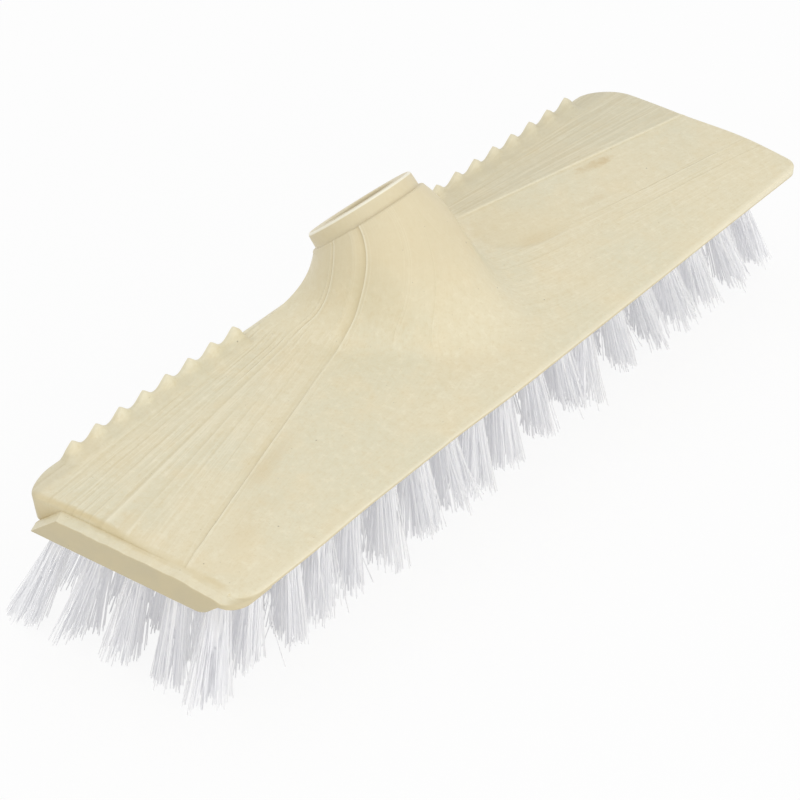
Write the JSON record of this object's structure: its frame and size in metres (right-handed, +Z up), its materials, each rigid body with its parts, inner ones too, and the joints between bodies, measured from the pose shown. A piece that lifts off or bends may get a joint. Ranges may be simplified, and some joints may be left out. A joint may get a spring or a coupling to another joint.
{
  "type": "deck brush head",
  "caption": "Moulded deck brush head with a tilted round handle socket, teeth along its back edge, a lip at one end, and fanned white bristles.",
  "frame": {"origin": "centre of the bounding box, on the plane that the bristle tips stand on", "axes": "+X along the block, +Y towards its toothed back edge and the socket's mouth, +Z up from the bristles to the socket"},
  "size_m": [0.3144, 0.0874, 0.0843],
  "materials": {
    "block": "cream moulded plastic with a fine wood-grain relief, satin",
    "bristles": "white translucent nylon filaments"
  },
  "bodies": {
    "root": {"block": "block", "tuft_column_01": "bristles", "tuft_column_02": "bristles", "tuft_column_03": "bristles", "tuft_column_04": "bristles", "tuft_column_05": "bristles", "tuft_column_06": "bristles", "tuft_column_07": "bristles", "tuft_column_08": "bristles", "tuft_column_09": "bristles", "tuft_column_10": "bristles", "tuft_column_11": "bristles", "tuft_column_12": "bristles", "tuft_column_13": "bristles", "tuft_column_14": "bristles", "tuft_column_15": "bristles", "tuft_column_16": "bristles", "tuft_column_17": "bristles", "tuft_column_18": "bristles", "tuft_column_19": "bristles"}
  },
  "joints": []
}
